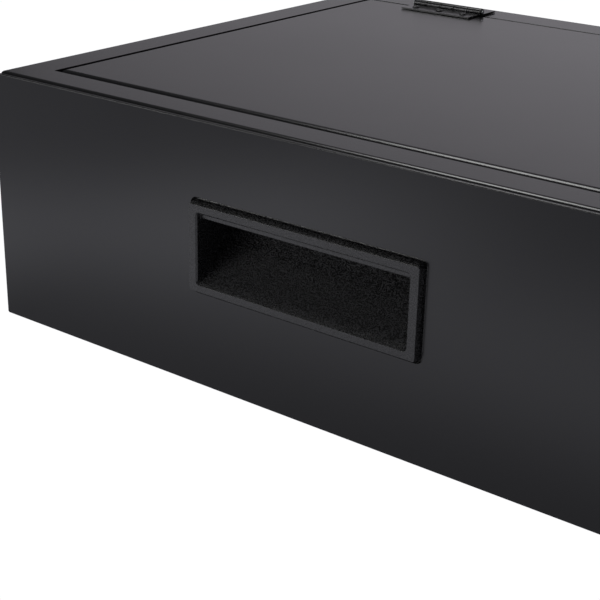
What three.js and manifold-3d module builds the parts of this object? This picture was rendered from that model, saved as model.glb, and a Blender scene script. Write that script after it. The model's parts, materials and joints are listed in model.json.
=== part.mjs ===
// A low steel parcel drop box: a hinged lid takes the parcel in, and a pull-out drawer gives it back.
// Millimetres. +Z is up, the drawer faces -Y, and Z = 0 is the surface that the feet stand on.
import * as THREE from "three";
import { mergeVertices } from "three/addons/utils/BufferGeometryUtils.js";
import Module from "manifold-3d";

const wasm = await Module();
wasm.setup();

// Driving dimensions.
const BOX_WIDTH = 480;
const BOX_DEPTH = 400; // from the drawer's face to the back of the cap
const FRONT_HEIGHT = 160;
const FOOT_HEIGHT = 8;
const SHEET = 1.5; // cabinet and lid steel
const TRAY_SHEET = 1.2;
const FRONT_PLATE = 2; // drawer front
const FIT = 0.3; // gap left between pieces that touch
const ARC_STEPS = 4; // flats in each quarter of a bend

// Pull handle: a frame that stands out through a cut-out in the drawer front, with a cup behind it.
const PULL = {
  abovePanelBottom: 87.1, proud: 4.6,
  faceWidth: 152.4, faceHeight: 51.9,
  baseWidth: 154.2, baseHeight: 54.7,
  openWidth: 142.6, openHeight: 43.7,
  chamfer: 0.9, wall: 2.2, depth: 30, startAngle: 42,
  lipDrop: 4.3, lipSetback: 3.4, lipThickness: 3,
  clearance: 1.4, flangeReach: 9.5, flange: 2, corner: 3,
};
const PULL_SCREW = { x: 82.5, z: 20, shank: 1.6, head: 3.1, headHeight: 1.8, tip: 1 };

// Cap, opening and lid.
const FRONT_GAP = 3; // between the drawer front and the cap
const CAP_BAND = 23.2; // width of the rim in front of the lid
const SIDE_BAND = 25;
const REAR_BAND = 30;
const CAP_SKIRT = 20;
const LID_GAP = 2;
const LID_RISE = 0.6; // how far the lid stands above the rim
const LID_DEPTH = 12.6;
const LEDGE_WIDTH = 12;
const BEND = 3; // outside bend radius of the cap
const EASED_EDGE = 0.75; // radius on the edges of the drawer front
const LID_BEND = 4;

// Drawer, slides and hinges.
const SLIDE = { length: 350, front: 12, centreZ: 70, sheet: 1.2 };
const TRAY_HALF_WIDTH = 215.7;
const TRAY_BOTTOM = 27;
const TRAY_TOP = 140;
const TRAY_FRONT = 34;
const TRAY_BACK = 374;
const HINGE = {
  length: 60, knuckles: 5, radius: 2.8, pin: 1.5, leaf: 20, leafThickness: 1.2, offset: 140,
};
const LOCK = { flange: 11, barrel: 9, plug: 6, camReach: 27, camThickness: 2 };
const DRAWER_LOCK = { x: 185, z: 130, barrel: 8.5 };
const LID_LOCK = { x: 185, behindFace: 60, barrel: 17 };
const BUMPER = { radius: 5, thickness: 1.4, x: 222 };
const FOOT = { radius: 15, x: 200, front: 45, back: 355 };

// Levels and faces that follow from them. Depths are measured back from the drawer's face.
const faceY = PULL.proud - (BOX_DEPTH + PULL.proud) / 2;
const atDepth = (depth) => faceY + depth;
const halfWidth = BOX_WIDTH / 2;
const topZ = FOOT_HEIGHT + FRONT_HEIGHT;
const capFront = FRONT_PLATE + FRONT_GAP;
const openFront = capFront + CAP_BAND;
const openBack = BOX_DEPTH - REAR_BAND;
const openHalf = halfWidth - SIDE_BAND;
const ledgeTop = topZ - LID_DEPTH + LID_RISE - 2.5;
const wrapHalf = halfWidth - SHEET - FIT; // outside of the cabinet walls, inside the cap's skirt
const wrapFront = capFront + SHEET + FIT;
const wrapBack = BOX_DEPTH - SHEET - FIT;
const floorTop = FOOT_HEIGHT + SHEET + FIT;
const wallTop = topZ - BEND - FIT; // clear of the bend inside the cap
const pullZ = FOOT_HEIGHT + PULL.abovePanelBottom;
const hingeDepth = openBack - LID_GAP / 2;
const hingeZ = topZ + FIT + HINGE.radius;

function finish(color, roughness, metalness) {
  return new THREE.MeshStandardMaterial({ color, roughness, metalness });
}
const blackCoat = finish(0x343436, 0.42, 0.1);
const bareSteel = finish(0xa8aaad, 0.38, 0.9);
const zinc = finish(0xc4c6c2, 0.3, 0.9);
const grainedPlastic = finish(0x2c2c2e, 0.6, 0);
const rubber = finish(0x1b1b1b, 0.85, 0);
const nickel = finish(0xb9b7b0, 0.2, 1);

// ---- Shapes ----

function solid(geometry) {
  const bare = geometry.index ? geometry.toNonIndexed() : geometry.clone();
  bare.deleteAttribute("normal");
  bare.deleteAttribute("uv");
  const merged = mergeVertices(bare, 1e-4);
  const vertProperties = new Float32Array(merged.attributes.position.array);
  const triVerts = new Uint32Array(merged.index.array);
  return new wasm.Manifold(new wasm.Mesh({ numProp: 3, vertProperties, triVerts }));
}

const join = (...pieces) => pieces.reduce((whole, piece) => whole.add(piece));
const cut = (whole, ...pieces) => pieces.reduce((rest, piece) => rest.subtract(piece), whole);

// A box from its limits: x, depth behind the face, and z.
function block([x0, x1], [d0, d1], [z0, z1]) {
  const geometry = new THREE.BoxGeometry(x1 - x0, d1 - d0, z1 - z0);
  geometry.translate((x0 + x1) / 2, atDepth((d0 + d1) / 2), (z0 + z1) / 2);
  return solid(geometry);
}

const axisX = new THREE.Vector3(1, 0, 0);
const axisY = new THREE.Vector3(0, 1, 0);
const axisZ = new THREE.Vector3(0, 0, 1);

// An outline carried from one end to the other along X, Y (depth) or Z.
function prism(shape, direction, start, end, curveSegments = ARC_STEPS) {
  const settings = { depth: end - start, bevelEnabled: false, curveSegments };
  const geometry = new THREE.ExtrudeGeometry(shape, settings);
  const place = new THREE.Matrix4();
  const toFront = axisY.clone().negate();
  if (direction === "x") place.makeBasis(axisY, axisZ, axisX).setPosition(start, faceY, 0);
  if (direction === "y") place.makeBasis(axisX, axisZ, toFront).setPosition(0, atDepth(end), 0);
  if (direction === "z") place.makeBasis(axisX, axisY, axisZ).setPosition(0, faceY, start);
  return solid(geometry.applyMatrix4(place));
}

function polygon(points) {
  return new THREE.Shape(points.map(([a, b]) => new THREE.Vector2(a, b)));
}

// A rectangle with its own radius at each corner, from the low corner round:
// low-low, high-low, high-high, low-high.
function roundedRectangle([a0, a1], [b0, b1], [r1, r2, r3, r4]) {
  const shape = new THREE.Shape();
  const corner = (a, b, r, from) => {
    if (r > 0) shape.absarc(a, b, r, from, from + Math.PI / 2, false);
    else shape.lineTo(a, b);
  };
  shape.moveTo(a0 + r1, b0);
  corner(a1 - r2, b0 + r2, r2, -Math.PI / 2);
  corner(a1 - r3, b1 - r3, r3, 0);
  corner(a0 + r4, b1 - r4, r4, Math.PI / 2);
  corner(a0 + r1, b0 + r1, r1, Math.PI);
  return shape;
}

// A folded pan's outer form: rounded along its top edges and down its four upright corners.
function crownedSlab(half, [d0, d1], [z0, z1], radius) {
  const across = roundedRectangle([-half, half], [z0, z1], [0, 0, radius, radius]);
  const along = roundedRectangle([d0, d1], [z0, z1], [0, 0, radius, radius]);
  const plan = roundedRectangle([-half, half], [d0, d1], [radius, radius, radius, radius]);
  return prism(across, "y", d0, d1)
    .intersect(prism(along, "x", -half, half))
    .intersect(prism(plan, "z", z0, z1));
}

// A flat ring: the outer rectangle less the inner one.
function flatRing(outerHalf, [d0, d1], innerHalf, [e0, e1], [z0, z1]) {
  const outer = block([-outerHalf, outerHalf], [d0, d1], [z0, z1]);
  return cut(outer, block([-innerHalf, innerHalf], [e0, e1], [z0 - 1, z1 + 1]));
}

// A solid of revolution about its own z axis, from a closed [radius, z] profile.
function turned(profile, steps = 24) {
  const points = [...profile, profile[0]].map(([r, z]) => new THREE.Vector2(r, z));
  const geometry = new THREE.LatheGeometry(points, steps);
  geometry.rotateX(Math.PI / 2);
  const made = solid(geometry);
  return made.volume() < 0 ? solid(turnedBack(geometry)) : made;
}

function turnedBack(geometry) {
  const flipped = geometry.toNonIndexed();
  const p = flipped.attributes.position;
  for (let i = 0; i < p.count; i += 3) {
    const [x, y, z] = [p.getX(i), p.getY(i), p.getZ(i)];
    p.setXYZ(i, p.getX(i + 1), p.getY(i + 1), p.getZ(i + 1));
    p.setXYZ(i + 1, x, y, z);
  }
  return flipped;
}

const cylinder = (radius, z0, z1, steps) => turned([[0, z0], [radius, z0], [radius, z1], [0, z1]], steps);

function move(piece, matrix) {
  return piece.transform(matrix.elements);
}

const part = new THREE.Group();

function add(name, piece, material) {
  const made = piece.getMesh();
  const geometry = new THREE.BufferGeometry();
  geometry.setAttribute("position", new THREE.BufferAttribute(new Float32Array(made.vertProperties), 3));
  geometry.setIndex(new THREE.BufferAttribute(new Uint32Array(made.triVerts), 1));
  geometry.computeVertexNormals();
  const mesh = new THREE.Mesh(geometry, material);
  mesh.name = name;
  part.add(mesh);
}

const sides = [["left", -1], ["right", 1]];
const spanX = (side, a, b) => (side < 0 ? [-b, -a] : [a, b]);

// ---- Cabinet ----

function sidePanel(side) {
  const level = [floorTop, wallTop];
  const wall = block(spanX(side, wrapHalf - SHEET, wrapHalf), [wrapFront, wrapBack], level);
  const jamb = block(spanX(side, wrapHalf - 10, wrapHalf), [wrapFront, wrapFront + SHEET], level);
  return join(wall, jamb);
}

function basePanel() {
  const plate = block([-wrapHalf, wrapHalf], [wrapFront, wrapBack], [FOOT_HEIGHT, FOOT_HEIGHT + SHEET]);
  const holes = [];
  for (const x of [-FOOT.x, FOOT.x]) {
    for (const depth of [FOOT.front, FOOT.back]) {
      const screwHole = cylinder(2.6, FOOT_HEIGHT - 1, FOOT_HEIGHT + 3, 12);
      holes.push(screwHole.translate([x, atDepth(depth), 0]));
      const anchorHole = cylinder(4.5, FOOT_HEIGHT - 1, FOOT_HEIGHT + 3, 16);
      holes.push(anchorHole.translate([x * 0.9, atDepth(depth + (depth < 200 ? 40 : -40)), 0]));
    }
  }
  return cut(plate, ...holes);
}

function frontSill() {
  const lip = floorTop + 14;
  const upright = block([-227.5, 227.5], [wrapFront, wrapFront + SHEET], [floorTop, lip]);
  const footing = block([-227.5, 227.5], [wrapFront, wrapFront + 14], [floorTop, floorTop + SHEET]);
  return join(upright, footing);
}

function cap() {
  const outer = crownedSlab(halfWidth, [capFront, BOX_DEPTH], [topZ - CAP_SKIRT, topZ], BEND);
  const insideHalf = halfWidth - SHEET;
  const hollow = block(
    [-insideHalf, insideHalf],
    [capFront + SHEET, BOX_DEPTH - SHEET],
    [topZ - CAP_SKIRT - 1, topZ - SHEET],
  );
  const window = block([-openHalf, openHalf], [openFront, openBack], [topZ - 30, topZ + 1]);
  const curb = block(
    [-openHalf - SHEET, openHalf + SHEET],
    [openFront - SHEET, openBack + SHEET],
    [ledgeTop + FIT, topZ - SHEET / 2],
  );
  return cut(join(cut(outer, hollow), curb), window);
}

function ledge() {
  return flatRing(
    openHalf + SHEET, [openFront - SHEET, openBack + SHEET],
    openHalf - LEDGE_WIDTH, [openFront + LEDGE_WIDTH, openBack - LEDGE_WIDTH],
    [ledgeTop - SHEET, ledgeTop],
  );
}

function gasket() {
  const inset = 2.5;
  return flatRing(
    openHalf - inset, [openFront + inset, openBack - inset],
    openHalf - LEDGE_WIDTH + 1.5, [openFront + LEDGE_WIDTH - 1.5, openBack - LEDGE_WIDTH + 1.5],
    [ledgeTop + FIT, ledgeTop + 2.2],
  );
}

function foot(x, depth) {
  const top = FOOT_HEIGHT - FIT;
  const recess = [[2.5, top], [2.5, 4], [6, 4], [6, 0]];
  const outside = [[FOOT.radius - 2, 0], [FOOT.radius, 2], [FOOT.radius - 2, top]];
  return turned([...recess, ...outside], 28).translate([x, atDepth(depth), 0]);
}

function footScrew(x, depth) {
  const profile = [[0, 1.6], [4.4, 1.6], [4.8, 2.2], [4.8, 3.7], [2, 3.7], [2, 14], [0, 14]];
  return turned(profile, 14).translate([x, atDepth(depth), 0]);
}

function buildCabinet() {
  for (const [word, side] of sides) {
    add(`side_panel_${word}`, sidePanel(side), blackCoat);
    add(`slide_bracket_${word}`, channel(side, MEMBER.bracket, bracketSpan), zinc);
    add(`slide_outer_${word}`, channel(side, MEMBER.outer, slideSpan), zinc);
  }
  const rearHalf = wrapHalf - SHEET - FIT;
  const rear = block([-rearHalf, rearHalf], [wrapBack - SHEET, wrapBack], [floorTop, wallTop]);
  add("rear_panel", rear, blackCoat);
  add("base_panel", basePanel(), blackCoat);
  add("front_sill", frontSill(), blackCoat);
  add("top_frame", cap(), blackCoat);
  add("gasket_ledge", ledge(), blackCoat);
  add("lid_gasket", gasket(), rubber);
  for (const [place, depth] of [["front", FOOT.front], ["rear", FOOT.back]]) {
    for (const [word, side] of sides) {
      add(`foot_${place}_${word}`, foot(side * FOOT.x, depth), rubber);
      add(`foot_screw_${place}_${word}`, footScrew(side * FOOT.x, depth), zinc);
    }
  }
}

// ---- Telescopic slides: each member is a channel carried along the depth ----

// Each member's web from x0 to x1, the reach of its flanges, and half its height.
const MEMBER = {
  bracket: { web: [228.2, 229.4], reach: [228.2, 236.3], half: 26 },
  outer: { web: [226.5, 227.7], reach: [217.5, 227.7], half: 22.7 },
  middle: { web: [221.4, 222.6], reach: [218.3, 225.7], half: 17.5 },
  inner: { web: [216.2, 217.4], reach: [216.2, 220.8], half: 12.7 },
};

// A channel standing on edge: an upright web with a flange at each end of its height.
function channel(side, { web, reach, half }, span) {
  const low = SLIDE.centreZ - half;
  const high = SLIDE.centreZ + half;
  return join(
    block(spanX(side, ...web), span, [low, high]),
    block(spanX(side, ...reach), span, [low, low + SLIDE.sheet]),
    block(spanX(side, ...reach), span, [high - SLIDE.sheet, high]),
  );
}

const slideSpan = [SLIDE.front, SLIDE.front + SLIDE.length];
const bracketSpan = [SLIDE.front + 2, SLIDE.front + SLIDE.length - 8];

// ---- Pull handle ----

const throatHalfWidth = PULL.openWidth / 2 - PULL.chamfer;
const throatHalfHeight = PULL.openHeight / 2 - PULL.chamfer;

// A rounded rectangle about the handle's centre, seen from the front.
function pullOutline(width, height, radius) {
  const level = [pullZ - height / 2, pullZ + height / 2];
  return roundedRectangle([-width / 2, width / 2], level, [radius, radius, radius, radius]);
}

// A straight-sided block that runs from one outline to another.
function tapered(nearShape, nearDepth, farShape, farDepth) {
  const skin = 0.01;
  const near = prism(nearShape, "y", nearDepth, nearDepth + skin);
  return wasm.Manifold.hull([near, prism(farShape, "y", farDepth - skin, farDepth)]);
}

// The finger hollow seen from the side, as depth and height about the handle's centre: a slope that
// turns upright at the back. Grown by wall it is the cup's outside.
function scoopCurve(wall) {
  const rise = Math.tan(THREE.MathUtils.degToRad(PULL.startAngle));
  const start = new THREE.Vector2(PULL.chamfer - PULL.proud, -throatHalfHeight);
  const bend = new THREE.Vector2(PULL.depth, start.y + (PULL.depth - start.x) * rise);
  const end = new THREE.Vector2(PULL.depth, throatHalfHeight - 1);
  const points = new THREE.QuadraticBezierCurve(start, bend, end).getPoints(8);
  return points.map((p) => [p.x + wall, p.y - wall * 0.9]);
}

function pullHollow() {
  const raise = ([depth, z]) => [depth, pullZ + z];
  const lipFront = PULL.lipSetback - PULL.proud;
  const lipBack = lipFront + PULL.lipThickness;
  const lipZ = PULL.openHeight / 2 - PULL.lipDrop;
  const before = -PULL.proud - 1;
  const mouth = [[before, throatHalfHeight], [before, -throatHalfHeight]];
  const lipRear = [[lipBack, throatHalfHeight - 1], [lipBack, lipZ]];
  const lip = [...lipRear, [lipFront, lipZ], [lipFront, throatHalfHeight]];
  const sideShape = polygon([...mouth, ...scoopCurve(0), ...lip].map(raise));
  const throat = pullOutline(2 * throatHalfWidth, 2 * throatHalfHeight, 1.6);
  const hollow = prism(sideShape, "x", -throatHalfWidth, throatHalfWidth)
    .intersect(prism(throat, "y", before, PULL.depth + 1));
  const opening = pullOutline(PULL.openWidth, PULL.openHeight, 1.6 + PULL.chamfer);
  return join(hollow, tapered(opening, -PULL.proud - 0.01, throat, PULL.chamfer - PULL.proud));
}

function pullCup() {
  const back = FRONT_PLATE + FIT;
  const base = pullOutline(PULL.baseWidth, PULL.baseHeight, PULL.corner);
  const rim = tapered(pullOutline(PULL.faceWidth, PULL.faceHeight, 1), -PULL.proud, base, 0);
  const neck = prism(base, "y", -0.02, back + 1);
  const reach = 2 * PULL.flangeReach;
  const flangeShape = pullOutline(PULL.baseWidth + reach, PULL.baseHeight + reach, 4);
  const flange = prism(flangeShape, "y", back, back + PULL.flange);
  const shellHalf = throatHalfHeight + PULL.wall;
  const shell = scoopCurve(PULL.wall).filter(([depth, z]) => depth > 1 && z > -shellHalf);
  const inFront = [[-1, shellHalf], [-1, -shellHalf], [1, -shellHalf]];
  const outside = [...inFront, ...shell, [PULL.depth + PULL.wall, shellHalf]];
  const cupShape = polygon(outside.map(([depth, z]) => [depth, pullZ + z]));
  const cup = prism(cupShape, "x", -throatHalfWidth - PULL.wall, throatHalfWidth + PULL.wall);
  const throughFlange = back + PULL.flange + 1;
  const screwHoles = pullScrewPlaces.map((place) => screwHole(place, 0, throughFlange));
  return cut(join(rim, neck, flange, cup), pullHollow(), ...screwHoles);
}

const pullScrewPlaces = [[-1, -1], [-1, 1], [1, -1], [1, 1]];

// A round bar along the depth, at one of the four screw places.
function rodAt([side, level], radius, d0, d1) {
  const bar = cylinder(radius, -d1, -d0, 14).rotate([90, 0, 0]);
  return bar.translate([side * PULL_SCREW.x, faceY, pullZ + level * PULL_SCREW.z]);
}

const screwHole = (place, d0, d1) => rodAt(place, PULL_SCREW.shank + FIT, d0, d1);

function pullScrew(place) {
  const seat = FRONT_PLATE + FIT + PULL.flange + FIT;
  const head = rodAt(place, PULL_SCREW.head, seat, seat + PULL_SCREW.headHeight);
  return join(head, rodAt(place, PULL_SCREW.shank, PULL_SCREW.tip, seat + 0.5));
}

// ---- Drawer ----

function drawerFront() {
  const low = FOOT_HEIGHT;
  const across = [-halfWidth, halfWidth];
  const eased = [EASED_EDGE, EASED_EDGE, EASED_EDGE, EASED_EDGE];
  const side = roundedRectangle([0, FRONT_PLATE], [low, topZ], eased);
  const plan = roundedRectangle(across, [0, FRONT_PLATE], eased);
  const outline = roundedRectangle(across, [low, topZ], [2.5, 2.5, 2.5, 2.5]);
  const plate = prism(side, "x", -halfWidth, halfWidth)
    .intersect(prism(plan, "z", low, topZ))
    .intersect(prism(outline, "y", 0, FRONT_PLATE));
  const growth = 2 * PULL.clearance;
  const radius = PULL.corner + PULL.clearance;
  const cutout = pullOutline(PULL.baseWidth + growth, PULL.baseHeight + growth, radius);
  const pullHole = prism(cutout, "y", -1, FRONT_PLATE + 1);
  const lockHole = move(cylinder(LOCK.barrel + 0.4, -FRONT_PLATE - 1, 1, 24), drawerLockPlace);
  const holeEnd = PULL_SCREW.tip - FIT;
  const screwHoles = pullScrewPlaces.map((place) => screwHole(place, holeEnd, FRONT_PLATE + 1));
  return cut(plate, pullHole, lockHole, ...screwHoles);
}

function traySide(side) {
  const inner = TRAY_HALF_WIDTH - TRAY_SHEET;
  const front = FRONT_PLATE + FIT;
  const level = [TRAY_BOTTOM, TRAY_TOP];
  const wall = block(spanX(side, inner, TRAY_HALF_WIDTH), [front, TRAY_BACK], level);
  const flange = block(spanX(side, inner - 13, inner + 0.5), [front, front + TRAY_SHEET], level);
  return join(wall, flange);
}

function buildDrawer() {
  const inner = TRAY_HALF_WIDTH - TRAY_SHEET - FIT;
  const across = [-inner, inner];
  const wallLow = TRAY_BOTTOM + TRAY_SHEET + FIT;
  const wallSpan = [wallLow, TRAY_TOP];
  add("drawer_front", drawerFront(), blackCoat);
  add("pull_cup", pullCup(), grainedPlastic);
  for (const [side, level] of pullScrewPlaces) {
    const name = `pull_screw_${side < 0 ? "left" : "right"}_${level < 0 ? "lower" : "upper"}`;
    add(name, pullScrew([side, level]), zinc);
  }
  for (const [word, side] of sides) {
    add(`tray_side_${word}`, traySide(side), bareSteel);
    add(`slide_inner_${word}`, channel(side, MEMBER.inner, slideSpan), zinc);
    const bumperBack = FRONT_PLATE + 0.2 + BUMPER.thickness;
    const bumper = cylinder(BUMPER.radius, 0, BUMPER.thickness, 16)
      .rotate([90, 0, 0])
      .translate([side * BUMPER.x, atDepth(bumperBack), topZ - 10]);
    add(`drawer_bumper_${word}`, bumper, rubber);
  }
  const floor = [TRAY_BOTTOM, TRAY_BOTTOM + TRAY_SHEET];
  add("tray_base", block(across, [TRAY_FRONT, TRAY_BACK], floor), bareSteel);
  add("tray_front", block(across, [TRAY_FRONT, TRAY_FRONT + TRAY_SHEET], wallSpan), bareSteel);
  add("tray_back", block(across, [TRAY_BACK - TRAY_SHEET, TRAY_BACK], wallSpan), bareSteel);
  const matSpan = [TRAY_FRONT + TRAY_SHEET + 1, TRAY_BACK - TRAY_SHEET - 1];
  add("tray_mat", block([1 - inner, inner - 1], matSpan, [wallLow, wallLow + 2]), rubber);
}

// ---- Locks: built about their own axis, key side towards +z, cam towards +x, then placed ----

// The cam lies along camAxis at rest, and the key goes in against outAxis.
function lockPlace(centre, outAxis, camAxis) {
  const sideAxis = new THREE.Vector3().crossVectors(outAxis, camAxis);
  return new THREE.Matrix4().makeBasis(camAxis, sideAxis, outAxis).setPosition(centre);
}

const drawerLockPlace = lockPlace(
  new THREE.Vector3(DRAWER_LOCK.x, faceY, DRAWER_LOCK.z),
  axisY.clone().negate(),
  axisX.clone().negate(),
);
const lidLockPlace = lockPlace(
  new THREE.Vector3(LID_LOCK.x, atDepth(LID_LOCK.behindFace), topZ + LID_RISE), axisZ, axisY,
);

function lockHousing(length) {
  const bore = LOCK.plug + FIT;
  const flangeTop = 2.8;
  return turned([
    [bore, -length], [LOCK.barrel, -length], [LOCK.barrel, FIT], [LOCK.flange, FIT],
    [LOCK.flange, flangeTop - 1], [LOCK.flange - 1, flangeTop], [bore, flangeTop],
  ], 28);
}

function lockNut(plate) {
  const hexagon = turned([[LOCK.barrel + 0.4, 0], [13.6, 0], [13.6, 3], [LOCK.barrel + 0.4, 3]], 6);
  const bore = cylinder(LOCK.barrel + 0.4, -1, 4, 24);
  const body = cut(join(cylinder(12, 0, 3, 6), hexagon), bore);
  return body.translate([0, 0, -plate - FIT - 3]);
}

function lockPlug(length) {
  const core = cylinder(LOCK.plug, -length - 0.4, 2.5, 24);
  const tail = solid(new THREE.BoxGeometry(5, 5, 4)).translate([0, 0, -length - 1.1]);
  const keySlot = solid(new THREE.BoxGeometry(1.8, 7.6, 6)).translate([0, 0, 2]);
  const screwBore = cylinder(1.8, -length - 4, -length + 0.5, 12);
  return cut(join(core, tail), keySlot, screwBore);
}

function lockCam(length) {
  const shape = new THREE.Shape();
  const tip = 5;
  shape.absarc(0, 0, 7, Math.PI / 2, 1.5 * Math.PI, false);
  shape.absarc(LOCK.camReach - tip, 0, tip, -Math.PI / 2, Math.PI / 2, false);
  const settings = { depth: LOCK.camThickness, bevelEnabled: false, curveSegments: 8 };
  const plate = new THREE.ExtrudeGeometry(shape, settings);
  const eye = solid(new THREE.BoxGeometry(5.6, 5.6, 8));
  return cut(solid(plate), eye).translate([0, 0, -length - 2.8]);
}

function camScrew(length) {
  const top = -length - 3.4;
  return turned([[0, top - 2], [4, top - 2], [4, top], [1.5, top], [1.5, top + 2.8], [0, top + 2.8]], 14);
}

function buildLock(prefix, place, length, plate) {
  add(`${prefix}_lock_housing`, move(lockHousing(length), place), nickel);
  add(`${prefix}_lock_nut`, move(lockNut(plate), place), zinc);
  add(`${prefix}_lock_plug`, move(lockPlug(length), place), nickel);
  add(`${prefix}_lock_cam`, move(lockCam(length), place), zinc);
  add(`${prefix}_cam_screw`, move(camScrew(length), place), zinc);
}

// ---- Lid and hinges ----

function lid() {
  const half = openHalf - LID_GAP;
  const span = [openFront + LID_GAP, openBack - LID_GAP];
  const top = topZ + LID_RISE;
  const low = top - LID_DEPTH;
  const shrink = (amount) => [span[0] + amount, span[1] - amount];
  const outer = crownedSlab(half, span, [low, top], LID_BEND);
  const inner = crownedSlab(half - SHEET, shrink(SHEET), [low + SHEET, top - SHEET], LID_BEND - SHEET);
  const mouth = block([12 - half, half - 12], shrink(12), [low - 1, low + 3]);
  const lockHole = move(cylinder(LOCK.barrel + 0.4, -4, 1, 24), lidLockPlace);
  return cut(outer, inner, mouth, lockHole);
}

function lidStiffener() {
  const low = topZ + LID_RISE - LID_DEPTH + SHEET + FIT;
  const high = topZ + LID_RISE - SHEET - FIT;
  const half = openHalf - 20;
  const [front, back] = [185, 225];
  return join(
    block([-half, half], [front, back], [low, low + TRAY_SHEET]),
    block([-half, half], [front, front + TRAY_SHEET], [low, high]),
    block([-half, half], [back - TRAY_SHEET, back], [low, high]),
  );
}

// One leaf of a butt hinge: a plate with every other knuckle, round a pin along X.
function hingeLeaf(centreX, direction, first, leafZ) {
  const pitch = HINGE.length / HINGE.knuckles;
  const start = centreX - HINGE.length / 2;
  const ring = new THREE.Shape().absarc(hingeDepth, hingeZ, HINGE.radius, 0, 2 * Math.PI, false);
  ring.holes.push(new THREE.Path().absarc(hingeDepth, hingeZ, HINGE.pin + FIT, 0, 2 * Math.PI, true));
  const reach = (near, far) => {
    const ends = [hingeDepth + direction * near, hingeDepth + direction * far];
    return ends.sort((a, b) => a - b);
  };
  const level = [leafZ, leafZ + HINGE.leafThickness];
  const bore = new THREE.Shape().absarc(hingeDepth, hingeZ, HINGE.pin + FIT, 0, 2 * Math.PI, false);
  let leaf = block([start, start + HINGE.length], reach(HINGE.radius + 0.5, HINGE.leaf), level);
  for (let i = first; i < HINGE.knuckles; i += 2) {
    const span = [start + i * pitch + 0.2, start + (i + 1) * pitch - 0.2];
    leaf = join(leaf, prism(ring, "x", ...span, 6), block(span, reach(0, HINGE.radius + 1), level));
  }
  return cut(leaf, prism(bore, "x", start - 1, start + HINGE.length + 1, 6));
}

function hingePin(centreX) {
  const shape = new THREE.Shape().absarc(hingeDepth, hingeZ, HINGE.pin, 0, 2 * Math.PI, false);
  return prism(shape, "x", centreX - HINGE.length / 2 - 1, centreX + HINGE.length / 2 + 1);
}

function buildLid() {
  add("lid_panel", lid(), blackCoat);
  add("lid_stiffener", lidStiffener(), zinc);
  for (const [word, side] of sides) {
    const x = side * HINGE.offset;
    add(`hinge_leaf_fixed_${word}`, hingeLeaf(x, 1, 0, topZ + FIT), blackCoat);
    add(`hinge_leaf_moving_${word}`, hingeLeaf(x, -1, 1, topZ + LID_RISE + FIT), blackCoat);
    add(`hinge_pin_${word}`, hingePin(x), bareSteel);
  }
}

buildCabinet();
buildDrawer();
for (const [word, side] of sides) {
  add(`slide_middle_${word}`, channel(side, MEMBER.middle, slideSpan), zinc);
}
buildLid();
buildLock("drawer", drawerLockPlace, DRAWER_LOCK.barrel, FRONT_PLATE);
buildLock("lid", lidLockPlace, LID_LOCK.barrel, SHEET);

export default part;
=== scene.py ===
# Parcel drop box: the visible shells, finishes, studio and camera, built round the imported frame.
import json
import bpy
import numpy as np
from mathutils import Matrix, Vector

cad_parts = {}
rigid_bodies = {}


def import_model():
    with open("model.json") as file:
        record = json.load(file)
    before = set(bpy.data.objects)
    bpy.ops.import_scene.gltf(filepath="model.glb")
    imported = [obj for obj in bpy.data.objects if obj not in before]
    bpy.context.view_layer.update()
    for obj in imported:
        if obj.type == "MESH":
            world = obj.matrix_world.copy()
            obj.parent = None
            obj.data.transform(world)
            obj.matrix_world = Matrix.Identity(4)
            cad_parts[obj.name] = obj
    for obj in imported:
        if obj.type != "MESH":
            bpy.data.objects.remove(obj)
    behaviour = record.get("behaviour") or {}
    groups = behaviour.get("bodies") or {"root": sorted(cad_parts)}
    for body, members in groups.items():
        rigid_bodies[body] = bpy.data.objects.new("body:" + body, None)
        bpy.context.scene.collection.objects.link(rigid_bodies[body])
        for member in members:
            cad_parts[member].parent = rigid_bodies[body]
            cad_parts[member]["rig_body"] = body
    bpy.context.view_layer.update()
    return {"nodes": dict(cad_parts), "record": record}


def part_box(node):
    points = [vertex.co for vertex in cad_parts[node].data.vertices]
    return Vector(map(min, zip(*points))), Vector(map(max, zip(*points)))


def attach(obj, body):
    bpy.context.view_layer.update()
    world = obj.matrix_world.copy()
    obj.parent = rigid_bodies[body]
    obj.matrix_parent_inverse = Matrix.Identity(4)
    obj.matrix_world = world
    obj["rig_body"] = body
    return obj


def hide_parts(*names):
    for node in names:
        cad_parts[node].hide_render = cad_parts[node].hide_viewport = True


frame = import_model()
mm = 0.001
weldDistance = 1e-5
print("frame loaded,", len(frame["nodes"]), "nodes")


# Places come from the frame: low and high corners of a node, in metres.
def corners(node):
    low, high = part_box(node)
    return np.array(low), np.array(high)


def ringGrid(halfA, halfB, radius, steps):
    # Nested rounded rectangles, one per row: each corner is a quarter circle of its own radius whose
    # centre is the rectangle's corner moved in by that radius. Rows run over rings, columns round the ring.
    halfA, halfB, radius = (np.atleast_1d(v).astype(float)[:, None] for v in (halfA, halfB, radius))
    quarter = np.linspace(0, np.pi / 2, steps + 1)
    angle = (np.arange(4)[:, None] * np.pi / 2 + quarter).ravel()
    signA = np.repeat([1, -1, -1, 1], steps + 1)
    signB = np.repeat([1, 1, -1, -1], steps + 1)
    a = signA * (halfA - radius) + radius * np.cos(angle)
    b = signB * (halfB - radius) + radius * np.sin(angle)
    return a, b


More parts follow.
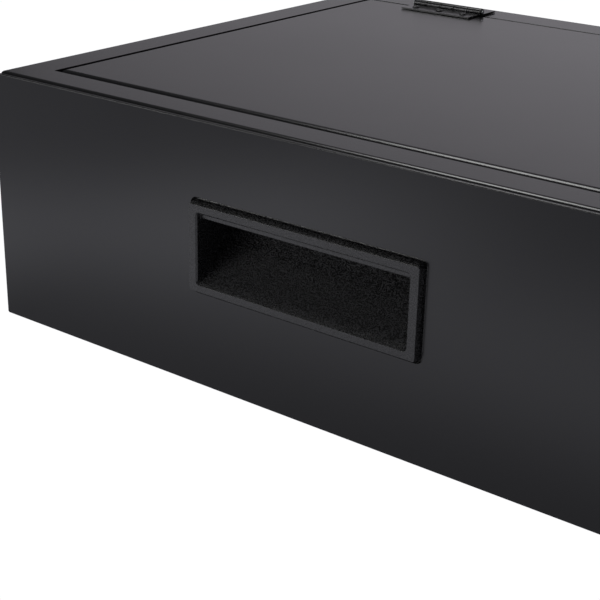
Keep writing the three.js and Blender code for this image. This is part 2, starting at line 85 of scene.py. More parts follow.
def gridMesh(name, points, wrapRows=False, capFirst=False, capLast=False):
    # A grid of points (rows, columns, xyz) as quads, closed round its columns. Rows may close too,
    # and the first and last row may be capped with one flat face.
    rows, columns = points.shape[:2]
    index = np.arange(rows * columns).reshape(rows, columns)
    lower = index if wrapRows else index[:-1]
    upper = np.roll(index, -1, 0) if wrapRows else index[1:]
    quads = np.stack([lower, np.roll(lower, -1, 1), np.roll(upper, -1, 1), upper], -1).reshape(-1, 4)
    faces = quads.tolist()
    if capFirst:
        faces.append(index[0, ::-1].tolist())
    if capLast:
        faces.append(index[-1].tolist())
    vertices = points.reshape(-1, 3)
    a, b, c = (vertices[quads[:, k]] for k in (0, 1, 2))
    d = vertices[quads[:, 3]]
    volume = np.einsum("ij,ij->", a, np.cross(b, c)) + np.einsum("ij,ij->", a, np.cross(c, d))
    if capFirst:
        volume += fanVolume(points[0, ::-1])
    if capLast:
        volume += fanVolume(points[-1])
    if volume < 0:
        faces = [face[::-1] for face in faces]
    mesh = bpy.data.meshes.new(name)
    mesh.from_pydata(vertices.tolist(), [], faces)
    mesh.validate()
    return mesh


def fanVolume(loop):
    # Six times the signed volume under one flat face: a fan of triangles from its first point.
    return np.einsum("ij,ij->", np.broadcast_to(loop[0], loop[1:-1].shape), np.cross(loop[1:-1], loop[2:]))


def place(axes, a, b, c):
    # Puts the grid's own three measures on the frame's axes, such as "xzy".
    out = dict(zip(axes, np.broadcast_arrays(a, b, c)))
    return np.stack([out["x"], out["y"], out["z"]], -1)


def addPiece(name, mesh, material, body, slot, *nodes):
    piece = bpy.data.objects.new(name, mesh)
    bpy.context.scene.collection.objects.link(piece)
    mesh.shade_smooth()
    mesh.materials.clear()
    mesh.materials.append(material)
    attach(piece, body)
    if nodes:
        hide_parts(*nodes)
    return piece


def weighNormals(piece):
    # Flat faces stay flat in shading and only the narrow bends turn.
    tool = piece.modifiers.new("evenNormals", "WEIGHTED_NORMAL")
    tool.weight = 100
    tool.keep_sharp = True
    return piece


def mergedCopy(node):
    # A node's loose triangles as one welded mesh: corners that round to the same place are one.
    source = frame["nodes"][node].data
    co = np.zeros(len(source.vertices) * 3)
    source.vertices.foreach_get("co", co)
    co = co.reshape(-1, 3)
    cells = np.round(co / weldDistance).astype(np.int64)
    first, inverse = np.unique(cells, axis=0, return_index=True, return_inverse=True)[1:]
    loops = np.zeros(len(source.loops), np.int32)
    source.loops.foreach_get("vertex_index", loops)
    faces = inverse.ravel()[loops].reshape(-1, 3)
    real = (faces[:, 0] != faces[:, 1]) & (faces[:, 1] != faces[:, 2]) & (faces[:, 2] != faces[:, 0])
    mesh = bpy.data.meshes.new(node + "Shell")
    mesh.from_pydata(co[first].tolist(), [], faces[real].tolist())
    return mesh


def softEdged(node, material, slot, width, sharpAngle=35):
    # A node's own shape with its edges broken, as a deburred sheet or turned part has.
    body = frame["nodes"][node]["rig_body"]
    piece = addPiece(node + "_finished", mergedCopy(node), material, body, slot, node)
    flatten = piece.modifiers.new("joinFlats", "DECIMATE")
    flatten.decimate_type = "DISSOLVE"
    flatten.angle_limit = np.radians(0.5)
    bevel = piece.modifiers.new("breakEdges", "BEVEL")
    bevel.width = width
    bevel.segments = 2
    bevel.limit_method = "ANGLE"
    bevel.angle_limit = np.radians(sharpAngle)
    bevel.harden_normals = True
    bevel.use_clamp_overlap = True
    return weighNormals(piece)


def makeNode(tree, kind, inputs=None, **settings):
    made = tree.nodes.new(kind)
    for key, value in settings.items():
        setattr(made, key, value)
    for key, value in (inputs or {}).items():
        if isinstance(value, bpy.types.NodeSocket):
            tree.links.new(value, made.inputs[key])
        else:
            made.inputs[key].default_value = value
    return made


def noise(tree, where, scale, detail, roughness=0.5):
    inputs = {"Vector": where, "Scale": scale, "Detail": detail, "Roughness": roughness}
    return makeNode(tree, "ShaderNodeTexNoise", inputs).outputs[0]


def combine(tree, operation, first, second):
    return makeNode(tree, "ShaderNodeMath", {0: first, 1: second}, operation=operation).outputs[0]


def combineVectors(tree, operation, first, second):
    inputs = {0: first, 1: second}
    return makeNode(tree, "ShaderNodeVectorMath", inputs, operation=operation).outputs


def remap(tree, value, start, end=(0.0, 1.0), **settings):
    # A value carried from one range to another, and held inside the second.
    limits = dict(zip(("From Min", "From Max", "To Min", "To Max"), (*start, *end)))
    return makeNode(tree, "ShaderNodeMapRange", {"Value": value, **limits}, **settings).outputs[0]


def newGroup(name, inputs, outputs):
    tree = bpy.data.node_groups.new(name, "ShaderNodeTree")
    for label, kind, value in inputs:
        socket = tree.interface.new_socket(label, in_out="INPUT", socket_type=kind)
        if value is not None:
            socket.default_value = value
    for label, kind in outputs:
        tree.interface.new_socket(label, in_out="OUTPUT", socket_type=kind)
    source = tree.nodes.new("NodeGroupInput")
    sink = tree.nodes.new("NodeGroupOutput")
    return tree, source.outputs, sink.inputs


floatSocket = "NodeSocketFloat"
vectorSocket = "NodeSocketVector"


peelShape = {"dimples": 900.0, "waves": 90.0, "waveWeight": 1.6, "clouds": 7.0}


def orangePeelGroup():
    # Powder coat: short shallow dimples riding on long faint waves, both as height.
    dimpleSocket = ("Dimples", floatSocket, peelShape["dimples"])
    waveSocket = ("Waves", floatSocket, peelShape["waves"])
    tree, given, out = newGroup(
        "orangePeel",
        [("Vector", vectorSocket, None), dimpleSocket, waveSocket],
        [("Height", floatSocket), ("Cloud", floatSocket)],
    )
    dimples = noise(tree, given["Vector"], given["Dimples"], 2.0, 0.45)
    waves = noise(tree, given["Vector"], given["Waves"], 2.0)
    cloud = noise(tree, given["Vector"], peelShape["clouds"], 4.0, 0.6)
    faint = combine(tree, "MULTIPLY", waves, peelShape["waveWeight"])
    tree.links.new(combine(tree, "ADD", dimples, faint), out["Height"])
    tree.links.new(cloud, out["Cloud"])
    return tree


grainShape = {"cells": 2200.0, "fine": 1500.0, "specks": 1350.0, "speckRange": (0.5, 0.58)}


def mouldGrainGroup():
    # Spark-eroded mould grain: small rounded cells with fine noise between them.
    tree, given, out = newGroup(
        "mouldGrain",
        [("Vector", vectorSocket, None), ("Cells", floatSocket, grainShape["cells"])],
        [("Height", floatSocket), ("Speck", floatSocket)],
    )
    inputs = {"Vector": given["Vector"], "Scale": given["Cells"]}
    cells = makeNode(tree, "ShaderNodeTexVoronoi", inputs, feature="SMOOTH_F1")
    fine = noise(tree, given["Vector"], grainShape["fine"], 2.0)
    rough = noise(tree, given["Vector"], grainShape["specks"], 1.0)
    dome = combine(tree, "SUBTRACT", 1.0, cells.outputs["Distance"])
    tree.links.new(combine(tree, "ADD", dome, fine), out["Height"])
    tree.links.new(remap(tree, rough, grainShape["speckRange"]), out["Speck"])
    return tree


dustShape = {"facing": (0.5, 1.0), "patches": 16.0, "patchRange": (0.42, 0.75)}


def dustGroup():
    # Settled dust: only on faces that look up, in soft patches.
    tree, given, out = newGroup("settledDust", [("Vector", vectorSocket, None)], [("Mask", floatSocket)])
    geometry = makeNode(tree, "ShaderNodeNewGeometry")
    parts = makeNode(tree, "ShaderNodeSeparateXYZ", {0: geometry.outputs["Normal"]})
    facing = remap(tree, parts.outputs[2], dustShape["facing"])
    patch = noise(tree, given["Vector"], dustShape["patches"], 5.0, 0.65)
    soft = remap(tree, patch, dustShape["patchRange"])
    tree.links.new(combine(tree, "MULTIPLY", facing, soft), out["Mask"])
    return tree


scratchShape = {"stretch": (8.0, 600.0, 600.0), "crests": (0.35, 0.75)}


def scratchGroup():
    # Hair scratches: a noise stretched along one axis, cut down to its crests.
    tree, given, out = newGroup(
        "hairScratches",
        [("Vector", vectorSocket, None), ("Length", vectorSocket, scratchShape["stretch"])],
        [("Mask", floatSocket)],
    )
    stretched = combineVectors(tree, "MULTIPLY", given["Vector"], given["Length"])
    lines = noise(tree, stretched[0], 1.0, 3.0)
    tree.links.new(remap(tree, lines, scratchShape["crests"]), out["Mask"])
    return tree


orangePeel = orangePeelGroup()
mouldGrain = mouldGrainGroup()
settledDust = dustGroup()
hairScratches = scratchGroup()
print("shader groups made")


def newFinish(name, **sockets):
    material = bpy.data.materials.new(name)
    material.use_nodes = True
    tree = material.node_tree
    tree.nodes.clear()
    shader = tree.nodes.new("ShaderNodeBsdfPrincipled")
    sink = tree.nodes.new("ShaderNodeOutputMaterial")
    tree.links.new(shader.outputs[0], sink.inputs["Surface"])
    for key, value in sockets.items():
        shader.inputs[key].default_value = value
    where = makeNode(tree, "ShaderNodeTexCoord")
    return material, tree, shader, where.outputs["Object"]


def useGroup(tree, group, inputs):
    made = makeNode(tree, "ShaderNodeGroup", node_tree=group)
    for key, value in inputs.items():
        if isinstance(value, bpy.types.NodeSocket):
            tree.links.new(value, made.inputs[key])
        else:
            made.inputs[key].default_value = value
    return made.outputs


def mixColor(tree, factor, first, second):
    mixed = makeNode(tree, "ShaderNodeMix", data_type="RGBA")
    for socket, value in zip((mixed.inputs[0], mixed.inputs[6], mixed.inputs[7]), (factor, first, second)):
        if isinstance(value, bpy.types.NodeSocket):
            tree.links.new(value, socket)
        else:
            socket.default_value = value
    return mixed.outputs[2]


def spread(tree, value, low, high):
    # A 0 to 1 value spread between two roughnesses.
    ranged = makeNode(tree, "ShaderNodeMapRange", {"Value": value, "To Min": low, "To Max": high})
    return ranged.outputs[0]


def bumpFrom(tree, shader, height, distance):
    inputs = {"Height": height, "Distance": distance, "Strength": 1.0}
    bump = makeNode(tree, "ShaderNodeBump", inputs)
    tree.links.new(bump.outputs[0], shader.inputs["Normal"])


coat = {
    "deep": (0.0030, 0.0030, 0.0038, 1), "pale": (0.0052, 0.0052, 0.0062, 1),
    "dust": (0.10, 0.098, 0.094, 1), "dustAmount": 0.035,
    "roughness": (0.19, 0.24), "dimpleHeight": 0.000008, "shine": 0.5,
}


def satinCoat():
    material, tree, shader, where = newFinish("satinBlackCoat", **{"Specular IOR Level": coat["shine"]})
    peel = useGroup(tree, orangePeel, {"Vector": where})
    dust = useGroup(tree, settledDust, {"Vector": where})
    base = mixColor(tree, peel["Cloud"], coat["deep"], coat["pale"])
    thin = combine(tree, "MULTIPLY", dust["Mask"], coat["dustAmount"])
    tree.links.new(mixColor(tree, thin, base, coat["dust"]), shader.inputs["Base Color"])
    tree.links.new(spread(tree, peel["Cloud"], *coat["roughness"]), shader.inputs["Roughness"])
    bumpFrom(tree, shader, peel["Height"], coat["dimpleHeight"])
    return material


plastic = {
    "deep": (0.0006, 0.0006, 0.0007, 1), "pale": (0.032, 0.032, 0.0342, 1),
    "roughness": (0.26, 0.42), "shine": 0.6, "refraction": 1.49, "cells": 1800.0, "grainHeight": 0.0001,
}


def grainedPlastic():
    sockets = {"IOR": plastic["refraction"], "Specular IOR Level": plastic["shine"]}
    material, tree, shader, where = newFinish("grainedBlackPlastic", **sockets)
    grain = useGroup(tree, mouldGrain, {"Vector": where, "Cells": plastic["cells"]})
    tint = mixColor(tree, grain["Speck"], plastic["deep"], plastic["pale"])
    tree.links.new(tint, shader.inputs["Base Color"])
    tree.links.new(spread(tree, grain["Speck"], *plastic["roughness"]), shader.inputs["Roughness"])
    bumpFrom(tree, shader, grain["Height"], plastic["grainHeight"])
    return material


spangle = {"crystals": 160.0, "crystalWeight": 0.75, "bothWeight": 0.6, "scratchHeight": 0.00001}


def spangledSteel(name, dark, light, roughness):
    # Hot-dip zinc: flat crystals of slightly different grey, under long drawing scratches.
    material, tree, shader, where = newFinish(name, Metallic=1.0)
    crystals = makeNode(tree, "ShaderNodeTexVoronoi", {"Vector": where, "Scale": spangle["crystals"]})
    tone = makeNode(tree, "ShaderNodeSeparateColor", {0: crystals.outputs["Color"]})
    lines = useGroup(tree, hairScratches, {"Vector": where})
    mixed = combine(tree, "MULTIPLY", tone.outputs[0], spangle["crystalWeight"])
    both = combine(tree, "ADD", mixed, lines["Mask"])
    half = combine(tree, "MULTIPLY", both, spangle["bothWeight"])
    tree.links.new(mixColor(tree, half, dark, light), shader.inputs["Base Color"])
    tree.links.new(spread(tree, tone.outputs[1], *roughness), shader.inputs["Roughness"])
    bumpFrom(tree, shader, lines["Mask"], spangle["scratchHeight"])
    return material


plate = {"clouds": 60.0, "marks": 1800.0, "markHeight": 0.000008}


def brightPlate(name, dark, light, roughness):
    # Bright plated small parts: clouded tone and fine marks.
    material, tree, shader, where = newFinish(name, Metallic=1.0)
    cloud = noise(tree, where, plate["clouds"], 4.0)
    marks = noise(tree, where, plate["marks"], 2.0)
    tree.links.new(mixColor(tree, cloud, dark, light), shader.inputs["Base Color"])
    tree.links.new(spread(tree, marks, *roughness), shader.inputs["Roughness"])
    bumpFrom(tree, shader, marks, plate["markHeight"])
    return material


padRubber = {
    "deep": (0.011, 0.011, 0.011, 1), "pale": (0.024, 0.0235, 0.023, 1), "roughness": (0.7, 0.9),
    "pores": 1400.0, "poreHeight": 0.00003, "clouds": 40.0,
}


def dullRubber():
    material, tree, shader, where = newFinish("dullRubber")
    pores = noise(tree, where, padRubber["pores"], 3.0)
    cloud = noise(tree, where, padRubber["clouds"], 3.0)
    tint = mixColor(tree, cloud, padRubber["deep"], padRubber["pale"])
    tree.links.new(tint, shader.inputs["Base Color"])
    tree.links.new(spread(tree, pores, *padRubber["roughness"]), shader.inputs["Roughness"])
    bumpFrom(tree, shader, pores, padRubber["poreHeight"])
    return material


liner = {
    "deep": (0.013, 0.013, 0.013, 1), "pale": (0.03, 0.029, 0.028, 1), "roughness": (0.65, 0.85),
    "ribs": 55.0, "ribHeight": 0.0006, "clouds": 30.0,
}


def ribbedMat():
    # The liner's fine ribs run front to back.
    material, tree, shader, where = newFinish("ribbedRubber")
    inputs = {"Vector": where, "Scale": liner["ribs"], "Distortion": 0.1, "Detail": 0.0}
    ribs = makeNode(tree, "ShaderNodeTexWave", inputs, bands_direction="X")
    cloud = noise(tree, where, liner["clouds"], 5.0)
    tint = mixColor(tree, cloud, liner["deep"], liner["pale"])
    tree.links.new(tint, shader.inputs["Base Color"])
    tree.links.new(spread(tree, cloud, *liner["roughness"]), shader.inputs["Roughness"])
    bumpFrom(tree, shader, ribs.outputs[1], liner["ribHeight"])
    return material


blackCoat = satinCoat()
blackPlastic = grainedPlastic()
traySteel = spangledSteel("spangledTraySteel", (0.36, 0.37, 0.38, 1), (0.62, 0.63, 0.64, 1), (0.3, 0.5))
zincPlate = brightPlate("brightZincPlate", (0.45, 0.46, 0.46, 1), (0.68, 0.68, 0.66, 1), (0.22, 0.38))
nickelPlate = brightPlate("nickelPlate", (0.52, 0.5, 0.46, 1), (0.66, 0.64, 0.6, 1), (0.12, 0.24))
rubber = dullRubber()
matRubber = ribbedMat()
print("finishes made")


def roundedRows(rows, steps):
    # Each row of numbers is one ring: low and high across, low and high along, corner radius, depth.
    rows = np.array(rows, float)
    half = (rows[:, [1, 3]] - rows[:, [0, 2]]) / 2
    middle = (rows[:, [1, 3]] + rows[:, [0, 2]]) / 2
    radius = np.minimum(rows[:, 4], half.min(1) * 0.95)
    a, b = ringGrid(half[:, 0], half[:, 1], radius, steps)
    return a + middle[:, :1], b + middle[:, 1:], np.broadcast_to(rows[:, 5:], a.shape)


def bend(radius, steps):
    # A quarter turn as two rising measures, both from nought to the radius.
    t = np.linspace(0, np.pi / 2, steps)
    return radius * (1 - np.cos(t)), radius * np.sin(t)


def turnedPiece(name, profile, centre, axis, material, body, slot, *nodes, columns=64):
    # A profile of radius and height carried round the axis in equal turns. One that comes back to its
    # start makes a ring, and any other is closed with a flat face at each end.
    profile = np.array(profile, float)
    isRing = np.allclose(profile[0], profile[-1])
    profile = profile[:-1] if isRing else profile
    t = np.linspace(0, 2 * np.pi, columns, endpoint=False)
    r, h = profile[:, :1], profile[:, 1:]
    points = place(axis, r * np.cos(t), r * np.sin(t), h) + np.array(centre)
    mesh = gridMesh(name, points, wrapRows=isRing, capFirst=not isRing, capLast=not isRing)
    return weighNormals(addPiece(name, mesh, material, body, slot, *nodes))


pull = {
    "proud": 4.6, "faceWide": 152.4, "faceHigh": 51.9, "baseWide": 154.2, "baseHigh": 54.7,
    "openWide": 142.6, "openHigh": 43.7, "chamfer": 0.9, "edge": 0.28, "wall": 2.2,
    "deep": 30.0, "startAngle": 42.0, "slopeRows": 90, "cornerSteps": 8,
    "lipDrop": 4.3, "lipSetback": 3.4, "lipThick": 3.0,
    "flangeReach": 9.5, "flangeBack": 4.3, "flangeFront": 2.3, "flangeCorner": 4,
}


def pullCup():
    # Rings seen from the front, one per depth: up the slope from its deepest line, past the grip lip, out
    # over the chamfer and the face, down the sloped sides, round the flange and back behind the hollow.
    # Rings a fraction of a millimetre from a corner keep its shading tight.
    low, high = corners("pull_cup")
    faceY = low[1] + pull["proud"] * mm
    midZ = (low[2] + high[2]) / 2
    halfW = pull["openWide"] / 2 - pull["chamfer"]
    halfH = pull["openHigh"] / 2 - pull["chamfer"]
    rise = np.tan(np.radians(pull["startAngle"]))
    startDeep, backDeep = pull["chamfer"] - pull["proud"], pull["deep"]
    startH, endH = -halfH, halfH - 1
    bendH = startH + (backDeep - startDeep) * rise
    t = np.linspace(1, 0, pull["slopeRows"])
    # A quadratic curve: start, the corner where the slope would meet the back, and end.
    deep = (1 - t) ** 2 * startDeep + 2 * t * (1 - t) * backDeep + t ** 2 * backDeep
    floor = (1 - t) ** 2 * startH + 2 * t * (1 - t) * bendH + t ** 2 * endH
    lipFront = pull["lipSetback"] - pull["proud"]
    lipBack = lipFront + pull["lipThick"]
    lipH = pull["openHigh"] / 2 - pull["lipDrop"]
    e = pull["edge"]
    roof = np.where(deep > lipBack, halfH - 1, np.where(deep > lipFront, lipH, halfH))
    floorAt = lambda d: np.interp(d, deep[::-1], floor[::-1])
    cornerAt = lambda d: np.interp(d, [-4.0, 4.0], [1.6, 0.5])
    step = lambda d, top: [-halfW, halfW, floorAt(d), top, cornerAt(d), d]
    rows = []
    for d, f, r in zip(deep, floor, roof):
        if d > lipBack + 0.3:
            rows.append([-halfW, halfW, f - 0.02, max(r, f + 0.02), 0.5, d])
    rows += [step(lipBack + 0.15, halfH - 1), step(lipBack, halfH - 1.2)]
    rows += [step(lipBack, lipH + 0.5), step(lipBack - 0.15, lipH + 0.15)]
    rows += [step(lipBack - 0.5, lipH), step(lipFront + 0.5, lipH), step(lipFront + 0.12, lipH + 0.12)]
    rows += [step(lipFront, lipH + 0.45), step(lipFront, halfH - 0.25), step(lipFront - 0.2, halfH)]
    rows += [step(d, halfH) for d in np.linspace(lipFront - 0.5, startDeep + 0.15, 5)]
    ring = lambda wide, tall, radius, d: [-wide / 2, wide / 2, -tall / 2, tall / 2, radius, d]
    wide, tall, front = pull["openWide"], pull["openHigh"], -pull["proud"]
    rows += [ring(2 * halfW + 0.08, 2 * halfH + 0.08, 1.7, startDeep - 0.05)]
    rows += [ring(wide - 0.3, tall - 0.3, 2.3, front + 0.2)]
    rows += [ring(wide, tall, 2.5, front + 0.03), ring(wide + 0.3, tall + 0.3, 2.6, front)]
    wide, tall = pull["faceWide"], pull["faceHigh"]
    for i, j in zip(*bend(e, 5)):
        rows.append(ring(wide - 2 * e + 2 * j, tall - 2 * e + 2 * j + 0.6 * i, 0.8 + j, front + i))
    wide, tall = pull["baseWide"], pull["baseHigh"]
    rows += [ring(wide, tall, 3.0, 0.0), ring(wide, tall, 3.0, pull["flangeFront"])]
    wide, tall = wide + 2 * pull["flangeReach"], tall + 2 * pull["flangeReach"]
    near, far, corner = pull["flangeFront"], pull["flangeBack"], pull["flangeCorner"]
    rows += [ring(wide - 0.6, tall - 0.6, corner, near), ring(wide, tall, corner, near + 0.3)]
    rows += [ring(wide, tall, corner, far - 0.3), ring(wide - 0.6, tall - 0.6, corner, far)]
    w = pull["wall"]
    outerRoof = halfH + w
    for d, f in zip(deep[::-1] + w, floor[::-1] - 0.9 * w):
        if d > pull["flangeBack"]:
            rows.append([-halfW - w, halfW + w, max(f, -outerRoof), outerRoof, 2.2, d])
    x, z, y = roundedRows(rows, pull["cornerSteps"])
    points = place("xzy", x * mm, z * mm + midZ, y * mm + faceY)
    mesh = gridMesh("pullCup", points, capFirst=True, capLast=True)
    piece = addPiece("pull_cup_moulded", mesh, blackPlastic, "drawer", "grained_plastic", "pull_cup")
    weighNormals(piece)


pullCup()
print("pull handle made")

topRim = {
    "sheet": 1.5, "bendRadius": 3.0, "hem": 0.4, "windowSide": 215.0, "windowFront": 28.2,
    "windowBack": 370.0, "bendSteps": 10, "cornerSteps": 8,
}


def topFrame():
    # Rings in plan, one per height: over the flat rim, round the outer bend, down the skirt and up inside
    # it, under the rim and round the curb that stands down inside the window.
    low, high = corners("top_frame")
    frontLow = corners("drawer_front")[0]
    ledgeHigh = corners("gasket_ledge")[1]
    s, r, hem = topRim["sheet"], topRim["bendRadius"], topRim["hem"]
    wall = [low[0] / mm, high[0] / mm, low[1] / mm, high[1] / mm]
    faceY = frontLow[1] / mm
    side, front, back = topRim["windowSide"], topRim["windowFront"], topRim["windowBack"]
    window = [-side, side, faceY + front, faceY + back]
    top, skirt, curb = high[2] / mm, low[2] / mm, ledgeHigh[2] / mm + 0.3
    grown = lambda box, by: [box[0] - by, box[1] + by, box[2] - by, box[3] + by]
    ring = lambda box, amount, radius, z: grown(box, amount) + [radius, z]
    inward, rise = bend(r, topRim["bendSteps"])
    hemIn, hemRise = bend(hem, 4)
    rows = [ring(window, i, 1.0, top - hem + j) for i, j in zip(hemIn, hemRise)]
    rows += [ring(wall, -r + j, j + 0.05, top - i) for i, j in zip(inward, rise)]
    rows += [ring(wall, 0, r, skirt + hem), ring(wall, -0.12, r, skirt + 0.12), ring(wall, -hem, r, skirt)]
    rows += [ring(wall, -s + 0.2, 0.6, skirt), ring(wall, -s, 0.5, skirt + 0.2)]
    rows += [ring(wall, -s, 0.5, top - s - 0.3)]
    rows += [ring(wall, -s - 0.08, 0.5, top - s - 0.08), ring(wall, -s - 0.3, 0.5, top - s)]
    rows += [ring(window, s + 0.3, 1.2, top - s), ring(window, s, 1.2, top - s - 0.3)]
    rows += [ring(window, s, 1.2, curb + 0.2)]
    rows += [ring(window, s - 0.2, 1.0, curb), ring(window, 0.2, 1.0, curb), ring(window, 0, 1.0, curb + 0.2)]
    x, y, z = roundedRows(rows, topRim["cornerSteps"])
    mesh = gridMesh("topFrame", place("xyz", x * mm, y * mm, z * mm), wrapRows=True)
    piece = addPiece("top_frame_folded", mesh, blackCoat, "cabinet", "black_coat", "top_frame")
    weighNormals(piece)


topFrame()
print("top frame made")

footShape = {"round": 1.6, "dish": 0.5, "screwWell": 6.0, "wellDeep": 4.0, "hole": 2.5}


def footPiece(node):
    # A turned pad: dished sole, rolled rim, slightly coned side, and the well that hides its screw.
    low, high = corners(node)
    centre = [(low[0] + high[0]) / 2, (low[1] + high[1]) / 2, 0]
    radius, tall, roll = (high[0] - low[0]) / 2 / mm, high[2] / mm, footShape["round"]
    inward, rise = bend(roll, 8)
    well, deep, hole = footShape["screwWell"], footShape["wellDeep"], footShape["hole"]
    rows = [[hole, deep], [well - 0.3, deep], [well, deep - 0.3]]
    rows += [[well, 0.4], [well + 0.3, 0.1], [well + 1.2, 0.0]]
    rows += [[well + 2.4, footShape["dish"]], [radius - 3.6, footShape["dish"]], [radius - 2.4, 0.0]]
    rows += [[radius - roll + j, i] for i, j in zip(inward, rise)]
    rows += [[radius, 2.4], [radius - 1.4, tall - 0.8], [radius - 1.7, tall - 0.25]]
    rows += [[radius - 2.1, tall], [hole, tall], [hole, deep]]
    profile = np.array(rows) * mm
    turnedPiece(node + "_moulded", profile, centre, "xyz", rubber, "cabinet", "rubber", node)


for row in ("front", "rear"):
    for side in ("left", "right"):
        footPiece("foot_" + row + "_" + side)
print("feet made")

rivet = {
    "radius": 2.6, "crown": 1.0, "rim": 0.25, "sunk": 0.1, "poleAngle": 0.1,
    "leafThick": 1.5, "fromEnd": 9.0, "fromPin": 13.5, "columns": 28,
}


def hingeRivets(side, leaf, body, way):
    # Three domed heads along each hinge leaf: a shallow dome on a short straight rim.
    low, high = corners("hinge_leaf_" + leaf + "_" + side)
    pinLow, pinHigh = corners("hinge_pin_" + side)
    axisY = (pinLow[1] + pinHigh[1]) / 2
    under = {"fixed": "top_frame", "moving": "lid_panel"}[leaf]
    topZ = corners(under)[1][2] + rivet["leafThick"] * mm
    t = np.linspace(rivet["poleAngle"], np.pi / 2, 8)
    dome = np.stack([rivet["radius"] * np.sin(t), rivet["rim"] + rivet["crown"] * np.cos(t)], 1)
    profile = np.vstack([dome, [[rivet["radius"], -rivet["sunk"]]]]) * mm
    ends = (low[0] + rivet["fromEnd"] * mm, (low[0] + high[0]) / 2, high[0] - rivet["fromEnd"] * mm)
    for number, x in enumerate(ends, 1):
        name = "hinge_rivet_" + leaf + "_" + side + "_" + str(number)
        centre = [x, axisY + way * rivet["fromPin"] * mm, topZ]
        turnedPiece(name, profile, centre, "xyz", blackCoat, body, "black_coat", columns=rivet["columns"])


for side in ("left", "right"):
    hingeRivets(side, "fixed", "cabinet", 1)
    hingeRivets(side, "moving", "lid", -1)
print("hinge rivets made")

studio = {
    "worldColor": (0.96, 0.97, 1.0, 1), "worldStrength": 0.07,
    "lights": [
        # name, place, aim, width, height, watts
        ("keySoftbox", (-1.85, -1.7, 0.75), (0, 0, 0.1), 1.0, 0.6, 5.0),
        ("wideSoftbox", (-0.4, 0.3, 2.4), (-0.4, 0.3, 0.0), 2.1, 1.2, 19.0),
        ("edgeStrip", (-1.5, -1.6, 1.75), (0, -0.2, 0.1), 0.6, 0.25, 0.45),
        ("frontStrip", (-1.43, -2.3, 0.7), (0, -0.2, 0.1), 1.5, 0.2, 9.0),
        ("narrowSoftbox", (-0.95, -0.05, 2.3), (-0.95, -0.05, 0.0), 0.6, 0.8, 10.0),
    ],
    "cardCentre": (-1.5, 2.6, 0.95), "cardHalf": (2.0, 0.75),
    "cardGlow": (0.25, 0.64), "cardColor": (1.0, 0.965, 1.04, 1),
    "floorHalf": 8.0, "floorZ": -0.0002, "floorSeen": 1.03, "floorSeenColor": (0.99, 0.99, 1.0, 1),
    "boxHalf": (0.24, 0.2, 0.0), "floorReach": 0.42,
    # the floor's glow as the box sees it: painted shade close to the box, palest halfway out, greyer beyond
    "floorShadeTones": ((0.0, 0.35), (0.45, 0.8), (1.0, 0.42)), "floorColor": (0.98, 0.98, 1.06, 1),
    # a painted pool of light on the floor before the drawer
    "lightPoolCentre": (-0.23, -0.52, 0.0), "lightPoolReach": 0.24, "lightPoolGlow": 0.5,
}


def aimAt(thing, target):
    way = Vector(target) - thing.location
    thing.rotation_mode = "QUATERNION"
    thing.rotation_quaternion = way.to_track_quat("-Z", "Y")


def stagePanel(name, points):
    mesh = bpy.data.meshes.new(name)
    mesh.from_pydata(points, [], [(0, 1, 2, 3)])
    panel = bpy.data.objects.new(name, mesh)
    bpy.context.scene.collection.objects.link(panel)
    material = bpy.data.materials.new(name + "Glow")
    material.use_nodes = True
    tree = material.node_tree
    tree.nodes.clear()
    sink = tree.nodes.new("ShaderNodeOutputMaterial")
    mesh.materials.append(material)
    where = makeNode(tree, "ShaderNodeTexCoord").outputs["Object"]
    return panel, tree, sink, makeNode(tree, "ShaderNodeSeparateXYZ", {0: where})


def paleFloor():
    # White to the camera. To the box it glows grey with painted shade: darkest close by, where the box's own
    # shadow would lie, palest about halfway out and greyer again beyond, with one painted pool of light
    # before the drawer.
    h, z = studio["floorHalf"], studio["floorZ"]
    panel, tree, sink, parts = stagePanel("paleFloor", [(-h, -h, z), (h, -h, z), (h, h, z), (-h, h, z)])
    flat = makeNode(tree, "ShaderNodeCombineXYZ", {0: parts.outputs[0], 1: parts.outputs[1]}).outputs[0]
    inside = combineVectors(tree, "ABSOLUTE", flat, studio["boxHalf"])
    beyond = combineVectors(tree, "SUBTRACT", inside[0], studio["boxHalf"])
    clear = combineVectors(tree, "MAXIMUM", beyond[0], (0.0, 0.0, 0.0))
    away = makeNode(tree, "ShaderNodeVectorMath", {0: clear[0]}, operation="LENGTH")
    reach = combine(tree, "DIVIDE", away.outputs["Value"], studio["floorReach"])
    # painted shade: the glow is darkest right beside the box
    grey = makeNode(tree, "ShaderNodeValToRGB", {0: reach})
    grey.color_ramp.interpolation = "EASE"
    grey.color_ramp.elements.new(0.5)
    for element, (position, tone) in zip(grey.color_ramp.elements, studio["floorShadeTones"]):
        element.position, element.color = position, (tone, tone, tone, 1)
    # painted pool of light: a brighter patch of glow before the drawer
    fromLightPool = combineVectors(tree, "DISTANCE", flat, studio["lightPoolCentre"])["Value"]
    fade = (studio["lightPoolGlow"], 0.0)
    patch = remap(tree, fromLightPool, (0.0, studio["lightPoolReach"]), fade, interpolation_type="SMOOTHSTEP")
    mirrored = combine(tree, "ADD", grey.outputs[0], patch)
    seenBy = makeNode(tree, "ShaderNodeLightPath").outputs["Is Camera Ray"]
    strength = makeNode(tree, "ShaderNodeMix", {0: seenBy, 2: mirrored, 3: studio["floorSeen"]})
    color = mixColor(tree, seenBy, studio["floorColor"], studio["floorSeenColor"])
    glow = makeNode(tree, "ShaderNodeEmission", {"Color": color, "Strength": strength.outputs[0]})
    tree.links.new(glow.outputs[0], sink.inputs["Surface"])


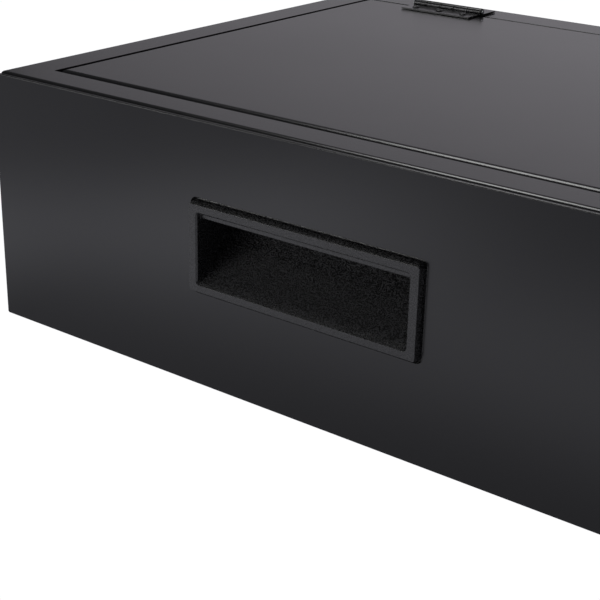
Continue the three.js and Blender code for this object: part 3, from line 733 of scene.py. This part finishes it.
def backCard():
    # A glowing card behind the box, brighter to the right: the lid and its edges mirror it.
    cx, cy, cz = studio["cardCentre"]
    hx, hz = studio["cardHalf"]
    left, right, foot, head = cx - hx, cx + hx, cz - hz, cz + hz
    points = [(left, cy, foot), (right, cy, foot), (right, cy, head), (left, cy, head)]
    panel, tree, sink, parts = stagePanel("backCard", points)
    across = remap(tree, parts.outputs[0], (left, right), studio["cardGlow"])
    glow = makeNode(tree, "ShaderNodeEmission", {"Color": studio["cardColor"], "Strength": across})
    tree.links.new(glow.outputs[0], sink.inputs["Surface"])
    panel.visible_camera = False


def buildStudio():
    world = bpy.data.worlds.new("paleRoom")
    bpy.context.scene.world = world
    world.use_nodes = True
    tree = world.node_tree
    sky = tree.nodes["Background"]
    sky.inputs[0].default_value = studio["worldColor"]
    seenBy = makeNode(tree, "ShaderNodeLightPath").outputs["Is Camera Ray"]
    seen = makeNode(tree, "ShaderNodeMix", {0: seenBy, 2: studio["worldStrength"], 3: 1.0})
    tree.links.new(seen.outputs[0], sky.inputs[1])
    for name, where, aim, width, height, watts in studio["lights"]:
        data = bpy.data.lights.new(name, "AREA")
        data.shape = "RECTANGLE"
        data.size, data.size_y, data.energy = width, height, watts
        lamp = bpy.data.objects.new(name, data)
        bpy.context.scene.collection.objects.link(lamp)
        lamp.location = where
        aimAt(lamp, aim)
    paleFloor()
    backCard()


buildStudio()

lens = {
    "focal": 80.95, "sensor": 36.0, "azimuth": 36.78, "elevation": 22.69, "roll": 1.37,
    # from the middle of the pull, the face of the drawer and the top of the drawer front
    "right": 0.4012, "before": 0.5373, "above": 0.1940,
}


def buildCamera():
    low, high = corners("drawer_front")
    az, el, roll = np.radians([lens["azimuth"], lens["elevation"], lens["roll"]])
    forward = np.array([-np.cos(el) * np.sin(az), np.cos(el) * np.cos(az), -np.sin(el)])
    level = np.array([np.cos(az), np.sin(az), 0.0])
    upright = np.cross(level, forward)
    right = np.cos(roll) * level + np.sin(roll) * upright
    up = np.cross(right, forward)
    data = bpy.data.cameras.new("viewCamera")
    data.lens, data.sensor_width = lens["focal"], lens["sensor"]
    camera = bpy.data.objects.new("viewCamera", data)
    bpy.context.scene.collection.objects.link(camera)
    matrix = np.eye(4)
    matrix[:3, 0], matrix[:3, 1], matrix[:3, 2] = right, up, -forward
    matrix[:3, 3] = (lens["right"], low[1] - lens["before"], high[2] + lens["above"])
    camera.matrix_world = Matrix(matrix.tolist())
    bpy.context.scene.camera = camera


buildCamera()
bpy.context.scene.view_settings.view_transform = "Standard"
print("studio and camera ready")

# each slot's finish and how far its edges are broken, in metres
finishOf = {
    "black_coat": (blackCoat, 0.0003), "tray_steel": (traySteel, 0.0002),
    "zinc_plate": (zincPlate, 0.00025), "grained_plastic": (blackPlastic, 0.0003),
    "rubber": (rubber, 0.0004), "nickel_plate": (nickelPlate, 0.0003), "tray_mat": (matRubber, 0.0004),
}
for part in frame["record"]["subparts"]:
    node, slot = part["node"], part["material_slot"]
    if not frame["nodes"][node].hide_render:
        finish, edge = finishOf.get(node, finishOf[slot])
        softEdged(node, finish, slot, edge)
print("shells dressed")
